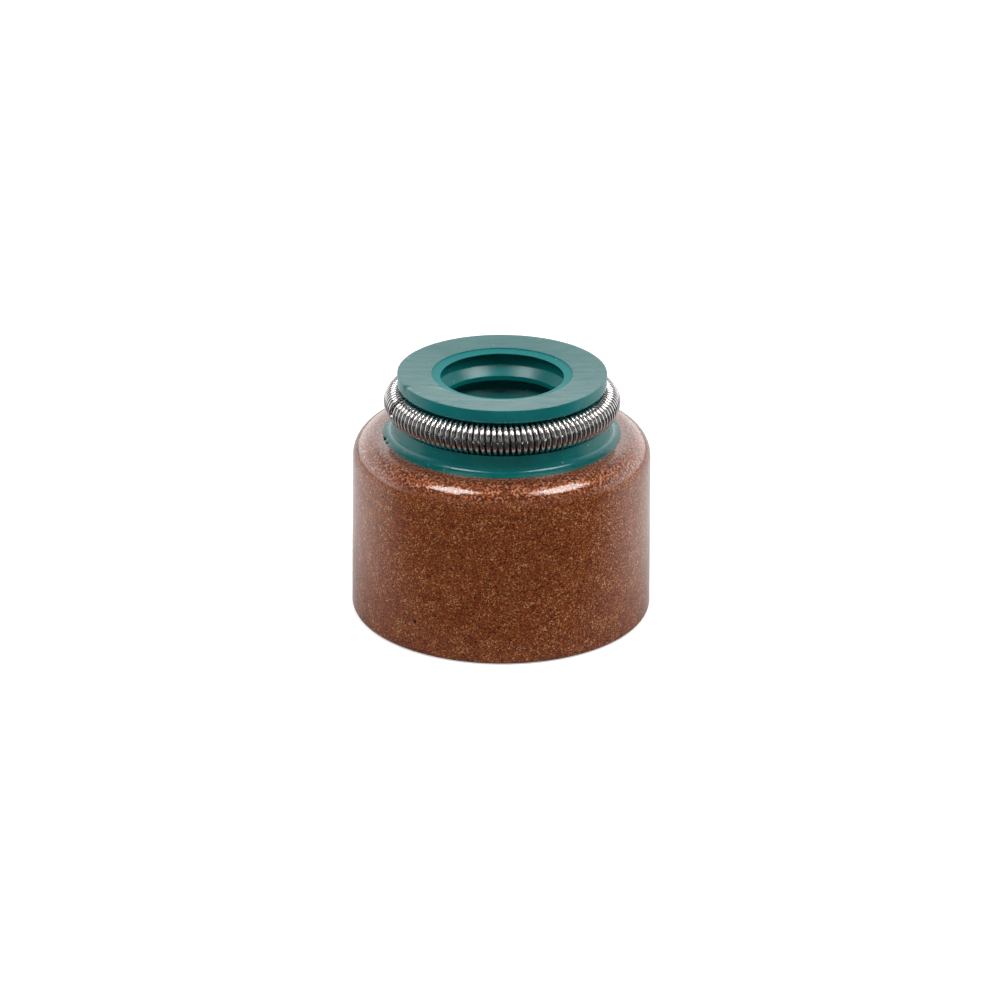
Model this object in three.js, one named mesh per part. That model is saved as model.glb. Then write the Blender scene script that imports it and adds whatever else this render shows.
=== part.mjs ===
// Valve stem seal: a drawn steel shell, the rubber seal body moulded into it and a garter spring.
//
// Units are millimetres. The valve stem runs along +Z, and the shell's open rim stands on z = 0.
// The shell and the seal body are profiles of [radius, height] points turned about the stem's axis.
// Each profile runs anticlockwise, with the solid on its left.

import * as THREE from "three";

// What the seal fits

const stemDiameter = 6.0;
const guideDiameter = 11.0;

// Steel shell

const sheet = 0.7; // thickness of the drawn sheet
const shellHeight = 8.9; // open rim to the top of the flange
const shoulderRadius = 1.3; // outside of the bend between the wall and the flange
const wallDraft = 0.75; // degrees that the wall leans in towards the flange
const rimRadius = 0.25; // outer corner of the open rim
const rimEdge = 0.08; // inner corner of the open rim

// Rubber sleeve inside the shell

const bondGap = 0.02; // clearance between the rubber and the steel that it is bonded to
const sleeveThickness = 0.93; // rubber between the ribs, at the open rim
const sleeveRecess = 0.4; // open rim to the sleeve's end
const leadIn = 0.45; // chamfer that finds the valve guide
const guideClearance = 0.1; // between the guide and the sleeve, beside the ribs
const ribInterference = 0.15; // squeeze of each rib on the guide
const ribCount = 3;
const ribCrest = 0.3; // flat width of a rib
const landHeight = 0.8; // plain tight band next to the guide stop
const stopThickness = 0.48; // rubber between the guide stop and the flange

// Rubber neck, cone and head

const neckWall = 0.78; // rubber between the bore and the flange's hole, or the spring's groove
const flareWidth = 0.42; // foot of the cone, spread on the flange
const flareHeight = 0.12;
const flareEdge = 0.03; // thickness of the foot's edge
const coneHeight = 0.9; // top of the flange to the groove's lower lip
const coneTaper = 0.1; // how far the cone widens towards its foot
const grooveReach = 0.29; // groove's lower lip, outside the spring's centre line
const headReach = 0.09; // head's rim, outside the spring's centre line
const headSlope = 0.135; // underside of the head, up from the groove
const headThickness = 0.545; // upright rim of the head
const collarWidth = 0.5; // sunk ring around the bore's mouth
const collarStep = 0.05;

// Bore, from its mouth down: a wiper edge, the main lip and a lower lip

const mouthInterference = 0.06;
const mouthDrop = 0.08;
const mouthLand = 0.08;
const recessClearance = 0.25; // recess between the wiper edge and the main lip
const recessSlope = 0.24;
const recessHeight = 0.25;
const lipInterference = 0.13;
const lipCone = 0.52;
const lipLand = 0.06;
const pocketClearance = 0.35; // pocket between the main lip and the lower lip
const pocketSlope = 0.47;
const pocketHeight = 0.4;
const lowerInterference = 0.07;
const lowerCone = 0.75;
const lowerLand = 0.1;
const cavityClearance = 0.9; // open space over the end of the valve guide
const cavitySlope = 0.5;

// Garter spring

const coilDiameter = 1.5; // outside of the coil
const wireDiameter = 0.2;
const turnGap = 0.021; // between turns where they are closest, on the ring's inside
const springClearance = 0.03; // between the coil and its groove
const jointAngle = -159; // degrees about the stem where the spring's ends meet
const nibTurns = 6; // tapered end that is screwed into the other end
const nibTaper = 0.06;

// Fineness of the round surfaces

const latheSegments = 48;
const arcStep = 20; // degrees
const stepsPerTurn = 8;
const wireSides = 5;

// Sizes worked out from the ones above

const { degToRad, smoothstep, lerp } = THREE.MathUtils;

const stemRadius = stemDiameter / 2;
const guideRadius = guideDiameter / 2;
const sleeveRadius = guideRadius + guideClearance;
const ribRadius = guideRadius - ribInterference;
const rimOuterRadius = sleeveRadius + sleeveThickness + bondGap + sheet;

const flangeUnderside = shellHeight - sheet;
const stopHeight = flangeUnderside - bondGap - stopThickness;
const cavityRadius = stemRadius + cavityClearance;
const neckRadius = cavityRadius + neckWall;
const flangeHoleRadius = neckRadius + bondGap;

const coilRadius = coilDiameter / 2;
const wireRadius = wireDiameter / 2;
const windingRadius = coilRadius - wireRadius; // coil's centre line to the wire's
const grooveRadius = coilRadius + springClearance;
const springRadius = stemRadius + pocketClearance + neckWall + grooveRadius; // the coil's centre line
const grooveLipHeight = shellHeight + coneHeight;
const springHeight = grooveLipHeight + Math.sqrt(grooveRadius ** 2 - grooveReach ** 2);
const headUnderside = springHeight + grooveRadius + headSlope;
const headTop = headUnderside + headThickness;

// Radius of the shell's tapered wall at a height, at a depth in from its outside
function wallRadius(depth, height) {
  const draft = degToRad(wallDraft);
  return rimOuterRadius - height * Math.tan(draft) - depth / Math.cos(draft);
}

const shoulderHeight = shellHeight - shoulderRadius; // centre of the bend
const shoulderCentre = wallRadius(shoulderRadius, shoulderHeight);

// Points along an arc, or an elliptical one, between two angles in degrees from the +radius direction
function arc(centre, height, radius, from, to, radiusUp = radius) {
  const steps = Math.max(2, Math.ceil(Math.abs(to - from) / arcStep));
  return Array.from({ length: steps + 1 }, (_, step) => {
    const angle = degToRad(lerp(from, to, step / steps));
    return [centre + radius * Math.cos(angle), height + radiusUp * Math.sin(angle)];
  });
}

// Profile of the shell: open rim, wall, shoulder, and the flange turned in over the rubber
function shellProfile() {
  const innerBend = shoulderRadius - sheet;
  return [
    ...arc(wallRadius(rimRadius, rimRadius), rimRadius, rimRadius, -90, wallDraft),
    ...arc(shoulderCentre, shoulderHeight, shoulderRadius, wallDraft, 90),
    [flangeHoleRadius, shellHeight],
    [flangeHoleRadius, flangeUnderside],
    ...arc(shoulderCentre, shoulderHeight, innerBend, 90, wallDraft),
    ...arc(wallRadius(sheet - rimEdge, rimEdge), rimEdge, rimEdge, 180 + wallDraft, 270),
  ];
}

// Outside of the seal body up to the head: bonded sleeve, neck through the flange, cone and groove
function bodyOutside() {
  const bondedBend = shoulderRadius - sheet - bondGap;
  const footHeight = shellHeight + bondGap;
  const footRadius = springRadius + grooveReach + coneTaper + flareWidth;
  const lipAngle = THREE.MathUtils.radToDeg(Math.acos(grooveReach / grooveRadius));
  return [
    [wallRadius(sheet + bondGap, sleeveRecess), sleeveRecess],
    ...arc(shoulderCentre, shoulderHeight, bondedBend, wallDraft, 90),
    [neckRadius, flangeUnderside - bondGap],
    [neckRadius, footHeight],
    [footRadius, footHeight],
    ...arc(footRadius, footHeight + flareEdge + flareHeight, flareWidth, 270, 180, flareHeight),
    ...arc(springRadius, springHeight, grooveRadius, 360 - lipAngle, 90),
    [springRadius + headReach, headUnderside],
    [springRadius + headReach, headTop],
  ];
}

// Bore of the seal body, from the sunk collar around its mouth down to the guide stop
function bodyBore() {
  const mouthRadius = stemRadius - mouthInterference;
  const stations = [
    [mouthRadius + collarWidth, 0],
    [mouthRadius + collarWidth, collarStep],
    [mouthRadius, mouthDrop],
    [mouthRadius, mouthLand],
    [stemRadius + recessClearance, recessSlope],
    [stemRadius + recessClearance, recessHeight],
    [stemRadius - lipInterference, lipCone],
    [stemRadius - lipInterference, lipLand],
    [stemRadius + pocketClearance, pocketSlope],
    [stemRadius + pocketClearance, pocketHeight],
    [stemRadius - lowerInterference, lowerCone],
    [stemRadius - lowerInterference, lowerLand],
    [cavityRadius, cavitySlope],
  ];
  let height = headTop;
  const points = stations.map(([radius, drop]) => {
    height -= drop;
    return [radius, height];
  });
  return [...points, [cavityRadius, stopHeight]];
}

// Guide bore of the seal body: a tight land at the stop, the ribs below it, and the lead-in
function bodySleeve() {
  const flank = sleeveRadius - ribRadius; // sides of the ribs slope at 45 degrees
  const landEnd = stopHeight - landHeight;
  const leadInTop = sleeveRecess + leadIn;
  const ribSpan = (landEnd - flank - leadInTop) / ribCount;
  const points = [[ribRadius, stopHeight], [ribRadius, landEnd], [sleeveRadius, landEnd - flank]];
  for (let rib = 0; rib < ribCount; rib++) {
    const crest = landEnd - flank - ribSpan * (rib + 0.5);
    points.push(
      [sleeveRadius, crest + ribCrest / 2 + flank],
      [ribRadius, crest + ribCrest / 2],
      [ribRadius, crest - ribCrest / 2],
      [sleeveRadius, crest - ribCrest / 2 - flank],
    );
  }
  return [...points, [sleeveRadius, leadInTop], [sleeveRadius + leadIn, sleeveRecess]];
}

// Ring of a profile turned about the stem's axis, as a named mesh
function turned(name, profile, material) {
  const points = [...profile, profile[0]].map(([radius, height]) => new THREE.Vector2(radius, height));
  const geometry = new THREE.LatheGeometry(points, latheSegments).rotateX(Math.PI / 2);
  return named(name, geometry, material);
}

function named(name, geometry, material) {
  const mesh = new THREE.Mesh(geometry, material);
  mesh.name = name;
  return mesh;
}

// Centre line of the spring's wire: once around the ring, then the narrow nib inside the first turns
class SpringWire extends THREE.Curve {
  constructor() {
    super();
    const closest = 2 * Math.PI * (springRadius - windingRadius);
    this.turns = Math.floor(closest / (wireDiameter + turnGap));
    const freeInside = windingRadius * Math.cos(Math.PI / stepsPerTurn) - wireRadius;
    this.nibRadius = freeInside - springClearance - wireRadius;
  }

  // The last full turn narrows to the nib, which tapers to its end
  windingAt(turn) {
    const narrowed = smoothstep(turn, this.turns - 1, this.turns);
    const tapered = Math.max(0, (turn - this.turns) / nibTurns);
    return lerp(windingRadius, this.nibRadius, narrowed) - nibTaper * tapered;
  }

  getPoint(t, target = new THREE.Vector3()) {
    const turn = t * (this.turns + nibTurns);
    const around = degToRad(jointAngle) + 2 * Math.PI * turn / this.turns;
    const winding = this.windingAt(turn);
    const radius = springRadius + winding * Math.cos(2 * Math.PI * turn);
    const height = springHeight + winding * Math.sin(2 * Math.PI * turn);
    return target.set(radius * Math.cos(around), radius * Math.sin(around), height);
  }

  // Every turn gets the same number of steps, also in the narrow nib
  getPointAt(u, target) {
    return this.getPoint(u, target);
  }

  getTangentAt(u, target) {
    return this.getTangent(u, target);
  }
}

function garterSpring(name, material) {
  const wire = new SpringWire();
  const corners = Array.from({ length: wireSides }, (_, side) => {
    const angle = 2 * Math.PI * side / wireSides;
    return new THREE.Vector2(wireRadius * Math.cos(angle), wireRadius * Math.sin(angle));
  });
  const geometry = new THREE.ExtrudeGeometry(new THREE.Shape(corners), {
    steps: (wire.turns + nibTurns) * stepsPerTurn,
    extrudePath: wire,
    bevelEnabled: false,
  });
  return named(name, geometry, material);
}

const lacquer = new THREE.MeshStandardMaterial({ color: 0x74402a, roughness: 0.38, metalness: 0.7 });
const rubber = new THREE.MeshStandardMaterial({ color: 0x0c6460, roughness: 0.5, metalness: 0 });
const steel = new THREE.MeshStandardMaterial({ color: 0xb4b0ac, roughness: 0.25, metalness: 1 });

const valveStemSeal = new THREE.Group();
valveStemSeal.add(
  turned("steel_shell", shellProfile(), lacquer),
  turned("seal_body", [...bodyOutside(), ...bodyBore(), ...bodySleeve()], rubber),
  garterSpring("garter_spring", steel),
);

export default valveStemSeal;
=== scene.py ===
"""Looks of a valve stem seal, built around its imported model.

Metres, with +Z along the valve stem. The shell's open rim stands on z = 0 and the front faces -Y.
The shell and the rubber body are turned from profiles of (radius, height) points, finer than the frame's.
The sunk collar's width and the heights in the bore follow the photograph, up to 0.26 mm from the frame's.
The garter spring is a round wire with the frame's turns. It is wound the way the photograph shows, which is
the other way round from the frame's.
"""

import math

import bpy
import numpy as np
from mathutils import Euler, Matrix, Vector, noise


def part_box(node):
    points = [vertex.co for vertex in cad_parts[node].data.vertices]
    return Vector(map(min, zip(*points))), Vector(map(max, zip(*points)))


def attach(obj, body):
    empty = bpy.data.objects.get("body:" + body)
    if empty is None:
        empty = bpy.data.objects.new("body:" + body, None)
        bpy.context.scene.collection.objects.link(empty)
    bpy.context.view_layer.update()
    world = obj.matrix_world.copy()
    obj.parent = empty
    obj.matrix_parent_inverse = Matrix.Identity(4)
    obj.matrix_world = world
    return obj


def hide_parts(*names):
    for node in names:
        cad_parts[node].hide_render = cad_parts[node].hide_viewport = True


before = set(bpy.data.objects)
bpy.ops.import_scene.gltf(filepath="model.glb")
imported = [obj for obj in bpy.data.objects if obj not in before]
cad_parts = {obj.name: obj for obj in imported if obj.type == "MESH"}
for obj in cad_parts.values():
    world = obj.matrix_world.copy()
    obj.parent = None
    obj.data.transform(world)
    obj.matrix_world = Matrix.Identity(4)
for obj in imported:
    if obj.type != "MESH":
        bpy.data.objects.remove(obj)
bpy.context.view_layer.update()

MM = 0.001

# Outer sizes, from the frame

shell_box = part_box("steel_shell")
seal_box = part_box("seal_body")
spring_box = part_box("garter_spring")

SHELL_TOP = shell_box[1].z
RIM_RADIUS = shell_box[1].x
HEAD_TOP = seal_box[1].z
SLEEVE_END = seal_box[0].z
COIL_RADIUS = (spring_box[1].z - spring_box[0].z) / 2
SPRING_HEIGHT = (spring_box[1].z + spring_box[0].z) / 2
SPRING_RADIUS = spring_box[1].x - COIL_RADIUS

# Steel shell

SHEET = 0.7 * MM
SHOULDER = 1.3 * MM
WALL_DRAFT = math.radians(0.75)
RIM_CORNER = 0.25 * MM
RIM_EDGE = 0.08 * MM
FLANGE_HOLE = 4.7 * MM

# Rubber body

STEM_RADIUS = 3.0 * MM
SLEEVE_RADIUS = 5.6 * MM
RIB_RADIUS = 5.35 * MM
RIBS = 3
RIB_CREST = 0.3 * MM
LAND = 0.8 * MM
LEAD_IN = 0.45 * MM
GUIDE_STOP = 7.7 * MM
CAVITY_RADIUS = 3.9 * MM
GROOVE_GAP = 0.03 * MM
GROOVE_REACH = 0.29 * MM
CONE_TAPER = 0.1 * MM
FLARE_WIDTH = 0.42 * MM
FLARE_HEIGHT = 0.12 * MM
HEAD_RADIUS = 5.0 * MM
HEAD_SIDE = 0.545 * MM
MOUTH_RADIUS = 2.94 * MM
COLLAR_WIDTH = 0.43 * MM
COLLAR_STEP = 0.05 * MM
HEAD_DISH = 0.07 * MM
RUBBER_WAVE = 0.012 * MM
WAVE_HEIGHT = 2 * MM
WAVE_SCALE = 6
NICK_SCALE = 90
SINK_SLOPE = 0.7

# Garter spring

WIRE_RADIUS = 0.1 * MM
TURNS = 121
NIB_TURNS = 6
NIB_RADIUS = 0.43 * MM
NIB_TAPER = 0.12 * MM
JOINT_ANGLE = math.radians(-159)
TURN_WANDER = math.radians(0.09)

# Nicks in the rubber: degrees from the front, radius, drop below the head's top, depth and width

NICKS = [
    (-66, 4.98 * MM, 0.02 * MM, 0.09 * MM, 0.16 * MM),
    (-72, 4.98 * MM, 0.50 * MM, 0.05 * MM, 0.10 * MM),
    (-38, 5.00 * MM, 0.00 * MM, 0.06 * MM, 0.10 * MM),
    (-29, 5.00 * MM, 0.01 * MM, 0.05 * MM, 0.07 * MM),
    (-14, 5.00 * MM, 0.54 * MM, 0.04 * MM, 0.09 * MM),
    (21, 5.00 * MM, 0.00 * MM, 0.04 * MM, 0.08 * MM),
    (47, 5.00 * MM, 0.53 * MM, 0.05 * MM, 0.12 * MM),
    (-58, 3.40 * MM, 0.06 * MM, 0.10 * MM, 0.14 * MM),
    (-63, 3.80 * MM, 0.04 * MM, 0.04 * MM, 0.10 * MM),
    (-80, 5.75 * MM, 3.05 * MM, 0.10 * MM, 0.15 * MM),
    (-74, 5.70 * MM, 3.00 * MM, 0.08 * MM, 0.10 * MM),
]

# Dust on the rubber: cells per metre, speck size in cells, how much it covers, and its colour

DUST = [
    (1500, 0.06, 0.6, (0.35, 0.50, 0.48)),
    (2600, 0.07, 0.5, (0.0, 0.03, 0.03)),
    (4200, 0.10, 0.25, (0.25, 0.42, 0.40)),
]

# Camera, fitted to the photograph

LENS = 131.4
SENSOR = 36
CAMERA_CLIP = 5 * MM
CAMERA_ELEVATION = math.radians(23.4)
CAMERA_DISTANCE = 176.2 * MM
CAMERA_AIM = Vector((-0.07 * MM, 0, 5.34 * MM))
CAMERA_ROLL = math.radians(0.33)

# Room around the object. Each stop is the sine of an elevation, and how bright the room is there

ROOM_LEVEL = 1.8  # strength of its brightest part
ROOM_BEHIND = [(0.25, 1.0), (0.50, 0.55), (0.72, 0.07)]
ROOM_FRONT = [(0.05, 0.12), (0.38, 0.12), (0.52, 0.05)]
ROOM_LEAN = -0.7  # the higher up, the further back the bright part starts
ROOM_TURN = (-0.5, 0.1)  # fade from the front part to the one behind

# Floor: its own white, the glow that makes it pure white, and the fade from front to back in reflections

FLOOR_SIZE = 4
FLOOR_WHITE = 0.9
FLOOR_GLOW = 0.45
FLOOR_FADE = (-12 * MM, 4 * MM)
FLOOR_MIRRORED = (0.04, 0.65)

# Softboxes: name, direction from the object, width, height and power

SOFTBOX_DISTANCE = 0.18
SOFTBOX_TARGET = Vector((0, 0, 6 * MM))
SOFTBOXES = [
    ("softbox_left", (-0.43, -0.27, 0.86), 0.070, 0.07, 0.16),
    ("softbox_right", (0.50, -0.21, 0.84), 0.095, 0.07, 0.20),
]

# Small dark mark low on the shell's front left

SCRATCH_PLACE = (-4.02 * MM, -5.95 * MM, 1.65 * MM)
SCRATCH_SIZE = 0.3 * MM

# Fineness of the meshes

SEGMENTS = 320
ARC_STEP = math.radians(9)
WIRE_STEPS = 28
WIRE_SIDES = 12


def arc(centre, height, radius, start, end):
    """Points along an arc in the profile plane, between two angles in degrees."""
    start, end = math.radians(start), math.radians(end)
    steps = max(2, math.ceil(abs(end - start) / ARC_STEP))
    angles = [start + (end - start) * step / steps for step in range(steps + 1)]
    return [(centre + radius * math.cos(a), height + radius * math.sin(a)) for a in angles]


def rounded(corners):
    """Closed outline from (radius, height, rounding) corners. Each rounding is an arc."""
    points = []
    count = len(corners)
    for index, (radius, height, rounding) in enumerate(corners):
        here = Vector((radius, height))
        before = Vector(corners[index - 1][:2]) - here
        after = Vector(corners[(index + 1) % count][:2]) - here
        opening = before.angle(after, math.pi)
        turn = math.pi - opening
        if rounding == 0 or turn < ARC_STEP / 2:
            points.append((radius, height))
            continue
        reach = min(rounding * math.tan(turn / 2), 0.45 * before.length, 0.45 * after.length)
        bend = reach / math.tan(turn / 2)
        first = here + before.normalized() * reach
        last = here + after.normalized() * reach
        middle = here + (before.normalized() + after.normalized()).normalized() * math.hypot(reach, bend)
        steps = max(2, math.ceil(turn / ARC_STEP))
        for step in range(steps + 1):
            spoke = (first - middle).slerp(last - middle, step / steps).normalized()
            points.append(tuple(middle + bend * spoke))
    return points


def spaced(points, longest):
    """The same closed outline with every side split into steps no longer than a length."""
    result = []
    for index, point in enumerate(points):
        following = points[(index + 1) % len(points)]
        steps = max(1, math.ceil(math.dist(point, following) / longest(point)))
        for step in range(steps):
            share = step / steps
            result.append(tuple(a + (b - a) * share for a, b in zip(point, following)))
    return result


def make_mesh(name, corners, faces):
    mesh = bpy.data.meshes.new(name)
    mesh.from_pydata([tuple(corner) for corner in corners], [], faces)
    mesh.polygons.foreach_set("use_smooth", [True] * len(mesh.polygons))
    mesh.update()
    piece = bpy.data.objects.new(name, mesh)
    bpy.context.scene.collection.objects.link(piece)
    return piece


def turned(name, outline, shift=None):
    """Turns a closed outline about the stem's axis. shift moves each (angle, radius, height) a little."""
    rings = np.array(outline)
    angles = 2 * math.pi * np.arange(SEGMENTS) / SEGMENTS
    corners = []
    for angle in angles:
        for radius, height in rings:
            if shift:
                radius, height = shift(angle, radius, height)
            corners.append((radius * math.sin(angle), -radius * math.cos(angle), height))
    count = len(rings)
    faces = []
    for segment in range(SEGMENTS):
        here = segment * count
        there = (segment + 1) % SEGMENTS * count
        for index in range(count):
            after = (index + 1) % count
            faces.append((here + index, there + index, there + after, here + after))
    return make_mesh(name, corners, faces)


def wall_radius(depth, height):
    """Radius of the shell's tapered wall at a depth in from its outside."""
    return RIM_RADIUS - height * math.tan(WALL_DRAFT) - depth / math.cos(WALL_DRAFT)


def shell_outline():
    underside = SHELL_TOP - SHEET
    corners = [
        (wall_radius(0, 0), 0, RIM_CORNER),
        (wall_radius(0, SHELL_TOP), SHELL_TOP, SHOULDER),
        (FLANGE_HOLE, SHELL_TOP, RIM_EDGE),
        (FLANGE_HOLE, underside, RIM_EDGE),
        (wall_radius(SHEET, underside), underside, SHOULDER - SHEET),
        (wall_radius(SHEET, 0), 0, RIM_EDGE),
    ]
    return spaced(rounded(corners), lambda point: 0.3 * MM)


def seal_outline():
    underside = SHELL_TOP - SHEET
    foot = SPRING_RADIUS + GROOVE_REACH + CONE_TAPER + FLARE_WIDTH
    groove = COIL_RADIUS + GROOVE_GAP
    lip_angle = math.degrees(math.acos(GROOVE_REACH / groove))
    lip_height = SPRING_HEIGHT - math.sqrt(groove**2 - GROOVE_REACH**2)
    neck = FLANGE_HOLE
    flank = SLEEVE_RADIUS - RIB_RADIUS
    corners = [
        (wall_radius(SHEET, SLEEVE_END), SLEEVE_END, 0.03 * MM),
        (wall_radius(SHEET, underside), underside, SHOULDER - SHEET),
        (neck, underside, 0),
        (neck, SHELL_TOP, 0),
        (foot, SHELL_TOP, 0),
        (foot, SHELL_TOP + 0.02 * MM, 0.01 * MM),
        (foot - 0.55 * FLARE_WIDTH, SHELL_TOP + 0.45 * FLARE_HEIGHT, 0.6 * MM),
        (foot - 0.95 * FLARE_WIDTH, SHELL_TOP + 1.2 * FLARE_HEIGHT, 0.6 * MM),
        (foot - 1.12 * FLARE_WIDTH, SHELL_TOP + 2.7 * FLARE_HEIGHT, 0.6 * MM),
        (SPRING_RADIUS + GROOVE_REACH, lip_height, 0.06 * MM),
    ]
    corners += [
        (radius, height, 0)
        for radius, height in arc(SPRING_RADIUS, SPRING_HEIGHT, groove, 360 - lip_angle - 4, 90)
    ]
    corners += [
        (HEAD_RADIUS, HEAD_TOP - HEAD_SIDE, 0.04 * MM),
        (HEAD_RADIUS, HEAD_TOP, 0.02 * MM),
        (MOUTH_RADIUS + COLLAR_WIDTH, HEAD_TOP - HEAD_DISH, 0.015 * MM),
        (MOUTH_RADIUS + COLLAR_WIDTH, HEAD_TOP - HEAD_DISH - COLLAR_STEP, 0.02 * MM),
    ]
    # Down the bore: radius, drop from the station above and rounding, the last two in millimetres
    drops = [
        (MOUTH_RADIUS, 0.08, 0.02),
        (MOUTH_RADIUS, 0.03, 0.02),
        (STEM_RADIUS + 0.25 * MM, 0.24, 0.1),
        (STEM_RADIUS + 0.25 * MM, 0.42, 0.1),
        (STEM_RADIUS - 0.13 * MM, 0.44, 0.03),
        (STEM_RADIUS - 0.13 * MM, 0.23, 0.03),
        (STEM_RADIUS + 0.35 * MM, 0.3, 0.15),
        (STEM_RADIUS + 0.35 * MM, 0.31, 0.15),
        (STEM_RADIUS - 0.07 * MM, 0.75, 0.05),
        (STEM_RADIUS - 0.07 * MM, 0.1, 0.05),
        (CAVITY_RADIUS, 0.5, 0.2),
    ]
    height = HEAD_TOP - HEAD_DISH - COLLAR_STEP
    for radius, drop, rounding in drops:
        height -= drop * MM
        corners.append((radius, height, rounding * MM))
    corners += [
        (CAVITY_RADIUS, GUIDE_STOP, 0.05 * MM),
        (RIB_RADIUS, GUIDE_STOP, 0.05 * MM),
        (RIB_RADIUS, GUIDE_STOP - LAND, 0.08 * MM),
        (SLEEVE_RADIUS, GUIDE_STOP - LAND - flank, 0.1 * MM),
    ]
    top = GUIDE_STOP - LAND - flank
    span = (top - SLEEVE_END - LEAD_IN) / RIBS
    for rib in range(RIBS):
        crest = top - span * (rib + 0.5)
        corners += [
            (SLEEVE_RADIUS, crest + RIB_CREST / 2 + flank, 0.1 * MM),
            (RIB_RADIUS, crest + RIB_CREST / 2, 0.1 * MM),
            (RIB_RADIUS, crest - RIB_CREST / 2, 0.1 * MM),
            (SLEEVE_RADIUS, crest - RIB_CREST / 2 - flank, 0.1 * MM),
        ]
    corners += [
        (SLEEVE_RADIUS, SLEEVE_END + LEAD_IN, 0.05 * MM),
        (SLEEVE_RADIUS + LEAD_IN, SLEEVE_END, 0.05 * MM),
    ]

    def longest(point):
        return 0.12 * MM if point[1] > SHELL_TOP + 0.01 * MM else 0.4 * MM

    return spaced(rounded(corners), longest)


def worn(angle, radius, height):
    """Seal's surface above the shell, a little uneven and nicked. It only moves inwards and down."""
    if height < SHELL_TOP + 0.01 * MM:
        return radius, height
    around = Vector((math.sin(angle), -math.cos(angle), height / WAVE_HEIGHT))
    sunk = RUBBER_WAVE * (0.5 + 0.5 * noise.noise(around * WAVE_SCALE))
    for nick_angle, nick_radius, drop, depth, width in NICKS:
        apart = math.remainder(angle - math.radians(nick_angle), 2 * math.pi) * radius
        away = math.hypot(apart / width, (radius - nick_radius) / width, (HEAD_TOP - drop - height) / width)
        sunk += depth * math.exp(-away * away) * (0.7 + 0.6 * noise.noise(around * NICK_SCALE))
    inward = 1 if radius > MOUTH_RADIUS + COLLAR_WIDTH else 0
    return radius - sunk * inward, height - sunk * SINK_SLOPE


def wire_point(turn):
    """Centre of the spring's wire after some turns."""
    full = COIL_RADIUS - WIRE_RADIUS
    narrowed = min(max(turn - TURNS + 1, 0), 1)
    narrowed = narrowed * narrowed * (3 - 2 * narrowed)
    winding = full + (NIB_RADIUS - full) * narrowed - NIB_TAPER * max(0, turn - TURNS) / NIB_TURNS
    around = JOINT_ANGLE + 2 * math.pi * turn / TURNS
    if 1 < turn < TURNS - 1:
        around += TURN_WANDER * noise.noise(Vector((turn * 0.8, 0, 0)))
    phase = 2 * math.pi * turn
    radius = SPRING_RADIUS + winding * math.cos(phase)
    height = SPRING_HEIGHT - winding * math.sin(phase)
    return Vector((radius * math.cos(around), radius * math.sin(around), height))


def spring_mesh(name):
    count = (TURNS + NIB_TURNS) * WIRE_STEPS
    centres = [wire_point(step / WIRE_STEPS) for step in range(count + 1)]
    corners = []
    across = Vector((0, 0, 1))
    for step, centre in enumerate(centres):
        tangent = centres[min(step + 1, count)] - centres[max(step - 1, 0)]
        across = (across - across.project(tangent)).normalized()
        other = tangent.normalized().cross(across)
        for side in range(WIRE_SIDES):
            angle = 2 * math.pi * side / WIRE_SIDES
            corners.append(centre + WIRE_RADIUS * (math.cos(angle) * across + math.sin(angle) * other))
    faces = []
    for step in range(count):
        here = step * WIRE_SIDES
        there = here + WIRE_SIDES
        for side in range(WIRE_SIDES):
            after = (side + 1) % WIRE_SIDES
            faces.append((here + side, here + after, there + after, there + side))
    faces.append(tuple(reversed(range(WIRE_SIDES))))
    faces.append(tuple(range(count * WIRE_SIDES, (count + 1) * WIRE_SIDES)))
    return make_mesh(name, corners, faces)


class Shader:
    """The nodes of a material or a world. node() adds a node, sets or links its inputs, and returns it."""

    def __init__(self, owner):
        self.owner = owner
        owner.use_nodes = True
        self.tree = owner.node_tree
        self.tree.nodes.clear()

    def node(self, kind, inputs=None, **settings):
        made = self.tree.nodes.new(kind)
        for key, value in settings.items():
            setattr(made, key, value)
        for key, value in (inputs or {}).items():
            if isinstance(value, bpy.types.NodeSocket):
                self.tree.links.new(value, made.inputs[key])
            else:
                made.inputs[key].default_value = value
        return made

    def math(self, operation, *values):
        return self.node("ShaderNodeMath", dict(enumerate(values)), operation=operation).outputs[0]

    def vector(self, operation, *values, scale=None):
        inputs = dict(enumerate(values))
        if scale is not None:
            inputs["Scale"] = scale
        return self.node("ShaderNodeVectorMath", inputs, operation=operation)

    def place(self, space="Object"):
        return self.node("ShaderNodeTexCoord").outputs[space]

    def normal(self):
        return self.node("ShaderNodeNewGeometry").outputs["Normal"]

    def split(self, vector):
        return self.node("ShaderNodeSeparateXYZ", {"Vector": vector}).outputs

    def noise(self, place, scale, detail):
        inputs = {"Vector": place, "Scale": scale, "Detail": detail}
        return self.node("ShaderNodeTexNoise", inputs).outputs["Fac"]

    def bump(self, height, strength, distance):
        inputs = {"Height": height, "Strength": strength, "Distance": distance}
        return self.node("ShaderNodeBump", inputs).outputs[0]

    def mix(self, factor, first, second):
        inputs = {"Factor": factor, "A": first, "B": second}
        return self.node("ShaderNodeMix", inputs, data_type="RGBA").outputs["Result"]

    def fade(self, value, start, end, low=0.0, high=1.0):
        inputs = {"Value": value, "From Min": start, "From Max": end, "To Min": low, "To Max": high}
        return self.node("ShaderNodeMapRange", inputs, interpolation_type="SMOOTHSTEP").outputs["Result"]

    def ramp(self, factor, stops):
        made = self.node("ShaderNodeValToRGB", {"Fac": factor})
        elements = made.color_ramp.elements
        while len(elements) < len(stops):
            elements.new(0.5)
        for element, (position, colour) in zip(elements, stops):
            element.position = position
            element.color = (*colour, 1)
        return made.outputs["Color"]

    def finish(self, surface, output="ShaderNodeOutputMaterial"):
        self.node(output, {"Surface": surface})
        return self.owner


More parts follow.
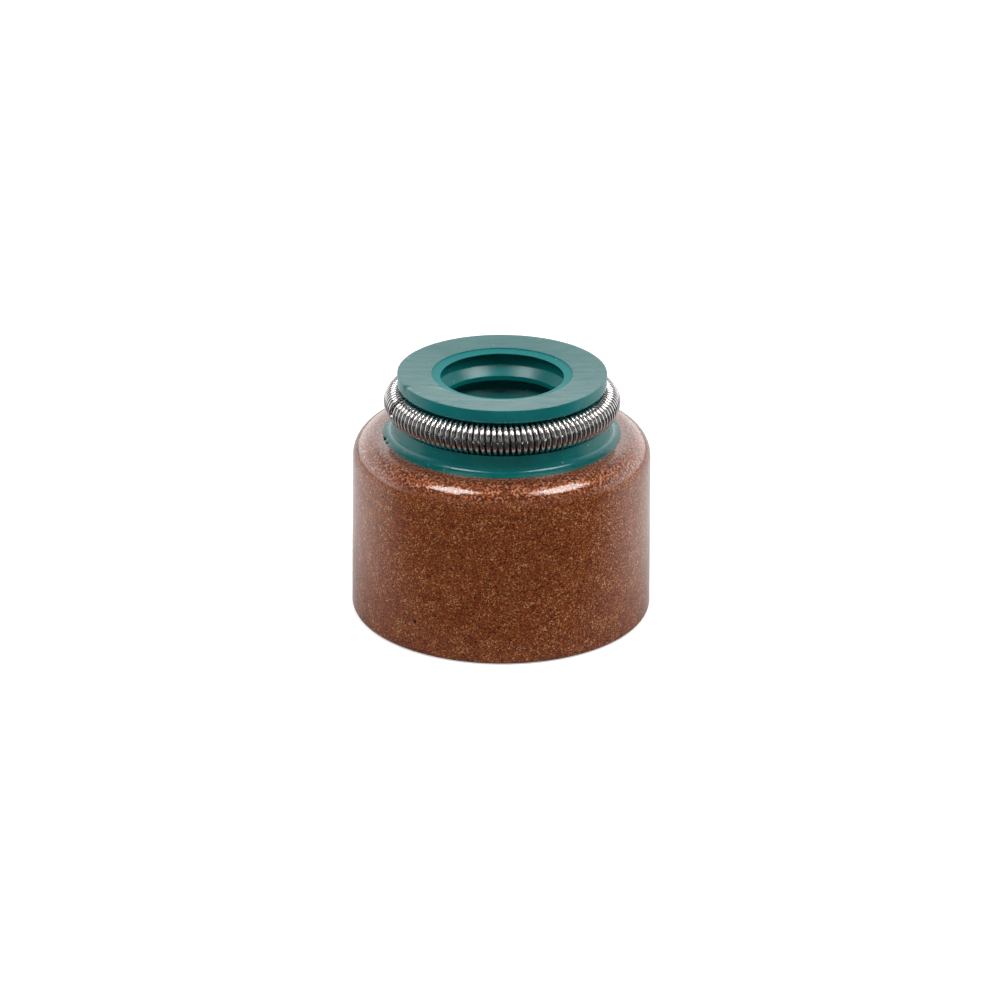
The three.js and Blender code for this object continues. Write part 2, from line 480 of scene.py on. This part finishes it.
def lacquer_material():
    """Brown bonding lacquer. Each fleck has its own tone and tilt. Where the shell faces up it is painted a
    darker mottled brown, as painted shade.
    """
    shader = Shader(bpy.data.materials.new("lacquer"))
    place = shader.place()
    flecks = shader.node("ShaderNodeTexVoronoi", {"Vector": place, "Scale": 21000}).outputs["Color"]
    tone = shader.node("ShaderNodeSeparateColor", {"Color": flecks}).outputs
    clouds = shader.noise(place, 1400, 3)
    mixed = shader.math("MULTIPLY_ADD", clouds, 0.35, tone["Red"])
    flecked = shader.ramp(
        shader.math("SUBTRACT", mixed, 0.17),
        [
            (0.0, (0.02, 0.005, 0.003)),
            (0.2, (0.17, 0.028, 0.005)),
            (0.75, (0.35, 0.078, 0.014)),
            (0.93, (0.50, 0.190, 0.055)),
            (1.0, (0.70, 0.40, 0.18)),
        ],
    )
    # Painted shade: a darker mottled brown with a few pale flecks, laid on where the shell faces up
    shaded_mottle = shader.ramp(
        shader.noise(place, 9000, 3),
        [
            (0.38, (0.015, 0.005, 0.001)),
            (0.47, (0.12, 0.020, 0.002)),
            (0.56, (0.42, 0.080, 0.006)),
            (0.66, (0.40, 0.32, 0.24)),
        ],
    )
    # Mask for the painted shade: how far the surface faces up
    up_facing_shade = shader.fade(shader.split(shader.normal())["Z"], 0.15, 0.6, high=0.85)
    colour = shader.mix(up_facing_shade, flecked, shaded_mottle)

    distance = shader.vector("DISTANCE", place, SCRATCH_PLACE).outputs["Value"]
    ragged = shader.math("MULTIPLY_ADD", clouds, SCRATCH_SIZE, distance)
    scratched = shader.math("LESS_THAN", ragged, 0.8 * SCRATCH_SIZE)
    colour = shader.mix(scratched, colour, (0.01, 0.004, 0.003, 1))

    tilt = shader.vector("ADD", flecks, (-0.5, -0.5, -0.5)).outputs[0]
    lean = shader.vector("SCALE", tilt, scale=0.3).outputs[0]
    leaning = shader.vector("ADD", shader.normal(), lean).outputs[0]
    surface = shader.node(
        "ShaderNodeBsdfPrincipled",
        {
            "Base Color": colour,
            "Metallic": 0.4,
            "Specular IOR Level": 0.2,
            "Roughness": shader.math("MULTIPLY_ADD", tone["Green"], 0.25, 0.32),
            "Normal": shader.vector("NORMALIZE", leaning).outputs[0],
            "Coat Weight": 1.0,
            "Coat IOR": 1.6,
            "Coat Roughness": 0.09,
            "Coat Normal": shader.bump(shader.noise(place, 6000, 5), 0.7, 0.012 * MM),
        },
    )
    return shader.finish(surface.outputs[0])


def rubber_material():
    """Dark teal rubber: fine grain, faint streaks on top, dust, and a duller ring around the bore. Upward
    faces carry painted shade and the bore carries painted light.
    """
    shader = Shader(bpy.data.materials.new("rubber"))
    place = shader.place()
    parts = shader.split(place)
    squares = [shader.math("POWER", parts[axis], 2.0) for axis in "XY"]
    reach = shader.math("POWER", shader.math("ADD", *squares), 0.5)
    inner = shader.math("LESS_THAN", reach, MOUTH_RADIUS + COLLAR_WIDTH + 0.004 * MM)
    high = shader.math("GREATER_THAN", parts["Z"], HEAD_TOP - HEAD_DISH - COLLAR_STEP - 0.1 * MM)
    collar = shader.math("MULTIPLY", inner, high)
    face = shader.math("GREATER_THAN", shader.split(shader.normal())["Z"], 0.9)

    clouds = shader.noise(place, 900, 4)
    colour = shader.ramp(clouds, [(0.3, (0.0002, 0.130, 0.130)), (0.7, (0.0004, 0.160, 0.158))])
    # Faces turned up get a darker teal than the sides: painted shade that offsets the stronger light on top
    colour = shader.mix(face, colour, (0.0002, 0.115, 0.112, 1))
    # Inside the bore and on the collar the teal is lighter: painted light that lifts the shade in the bore
    colour = shader.mix(inner, colour, (0.0006, 0.185, 0.185, 1))
    for scale, size, share, tint in DUST:
        grains = shader.node("ShaderNodeTexVoronoi", {"Vector": place, "Scale": scale})
        speck = shader.math("LESS_THAN", grains.outputs["Distance"], size)
        colour = shader.mix(shader.math("MULTIPLY", speck, share), colour, (*tint, 1))

    stretched = shader.node("ShaderNodeMapping", {"Vector": place, "Scale": (700, 5200, 700)}).outputs[0]
    streaks = shader.math("SUBTRACT", shader.noise(stretched, 1, 4), 0.5)
    rough = shader.math("MULTIPLY_ADD", face, 0.12, 0.12)
    rough = shader.math("MULTIPLY_ADD", clouds, 0.12, rough)
    rough = shader.math("MULTIPLY_ADD", inner, 0.16, rough)
    rough = shader.math("MULTIPLY_ADD", streaks, shader.math("MULTIPLY", face, 0.4), rough)
    surface = shader.node(
        "ShaderNodeBsdfPrincipled",
        {
            "Base Color": colour,
            "Roughness": shader.math("MULTIPLY_ADD", collar, 0.2, rough),
            "Normal": shader.bump(shader.noise(place, 14000, 3), 0.45, 0.006 * MM),
        },
    )
    return shader.finish(surface.outputs[0])


def steel_material():
    """Bright drawn spring wire."""
    shader = Shader(bpy.data.materials.new("steel"))
    stains = shader.noise(shader.place(), 6000, 5)
    surface = shader.node(
        "ShaderNodeBsdfPrincipled",
        {
            "Base Color": shader.ramp(stains, [(0.35, (0.54, 0.52, 0.51)), (0.6, (0.70, 0.68, 0.68))]),
            "Metallic": 1.0,
            "Roughness": shader.math("MULTIPLY_ADD", stains, 0.12, 0.10),
        },
    )
    return shader.finish(surface.outputs[0])


def dress(piece, material, node):
    piece.data.materials.append(material)
    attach(piece, "root")
    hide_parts(node)


def add_floor():
    """White floor that keeps the object's shadow. In reflections its front is dark, like the room."""
    bpy.ops.mesh.primitive_plane_add(size=FLOOR_SIZE)
    floor = bpy.context.object
    floor.name = "floor"
    shader = Shader(bpy.data.materials.new("floor"))
    path = shader.node("ShaderNodeLightPath").outputs
    mirrored = shader.fade(shader.split(shader.place())["Y"], *FLOOR_FADE, *FLOOR_MIRRORED)
    white = (FLOOR_WHITE, FLOOR_WHITE, FLOOR_WHITE, 1)
    colour = shader.mix(path["Is Glossy Ray"], white, mirrored)
    paper = shader.node("ShaderNodeBsdfDiffuse", {"Color": colour})
    strength = shader.math("MULTIPLY", path["Is Camera Ray"], FLOOR_GLOW)
    glow = shader.node("ShaderNodeEmission", {"Strength": strength})
    both = shader.node("ShaderNodeAddShader", {0: paper.outputs[0], 1: glow.outputs[0]})
    floor.data.materials.append(shader.finish(both.outputs[0]))


def add_world():
    """White for the camera. The object is lit by a room that is white behind and dim above and in front."""
    world = bpy.data.worlds.new("studio")
    bpy.context.scene.world = world
    shader = Shader(world)
    parts = shader.split(shader.place("Generated"))
    behind, front = (
        shader.ramp(parts["Z"], [(height, (level,) * 3) for height, level in stops])
        for stops in (ROOM_BEHIND, ROOM_FRONT)
    )
    depth = shader.math("MULTIPLY_ADD", parts["Z"], ROOM_LEAN, parts["Y"])
    room = shader.mix(shader.fade(depth, *ROOM_TURN), front, behind)
    seen = shader.node("ShaderNodeLightPath").outputs["Is Camera Ray"]
    background = shader.node(
        "ShaderNodeBackground",
        {
            "Color": shader.mix(seen, room, (1, 1, 1, 1)),
            "Strength": shader.math("MULTIPLY_ADD", seen, 1 - ROOM_LEVEL, ROOM_LEVEL),
        },
    )
    shader.finish(background.outputs[0], "ShaderNodeOutputWorld")


def add_softbox(name, direction, width, height, power):
    light = bpy.data.lights.new(name, "AREA")
    light.shape = "RECTANGLE"
    light.size = width
    light.size_y = height
    light.energy = power
    lamp = bpy.data.objects.new(name, light)
    aim = Vector(direction).normalized()
    lamp.location = SOFTBOX_TARGET + aim * SOFTBOX_DISTANCE
    lamp.rotation_euler = aim.to_track_quat("Z", "Y").to_euler()
    bpy.context.scene.collection.objects.link(lamp)


def add_camera():
    camera = bpy.data.cameras.new("camera")
    camera.lens = LENS
    camera.sensor_width = SENSOR
    camera.clip_start = CAMERA_CLIP
    holder = bpy.data.objects.new("camera", camera)
    back = Vector((0, -math.cos(CAMERA_ELEVATION), math.sin(CAMERA_ELEVATION)))
    holder.location = CAMERA_AIM + CAMERA_DISTANCE * back
    tilt = Euler((math.pi / 2 - CAMERA_ELEVATION, 0, 0)).to_matrix()
    holder.rotation_euler = (tilt @ Matrix.Rotation(CAMERA_ROLL, 3, "Z")).to_euler()
    bpy.context.scene.collection.objects.link(holder)
    bpy.context.scene.camera = holder


bpy.context.scene.view_settings.view_transform = "Standard"

add_camera()
dress(turned("shell", shell_outline()), lacquer_material(), "steel_shell")
dress(turned("seal", seal_outline(), worn), rubber_material(), "seal_body")
dress(spring_mesh("spring"), steel_material(), "garter_spring")

add_floor()
add_world()
for softbox in SOFTBOXES:
    add_softbox(*softbox)
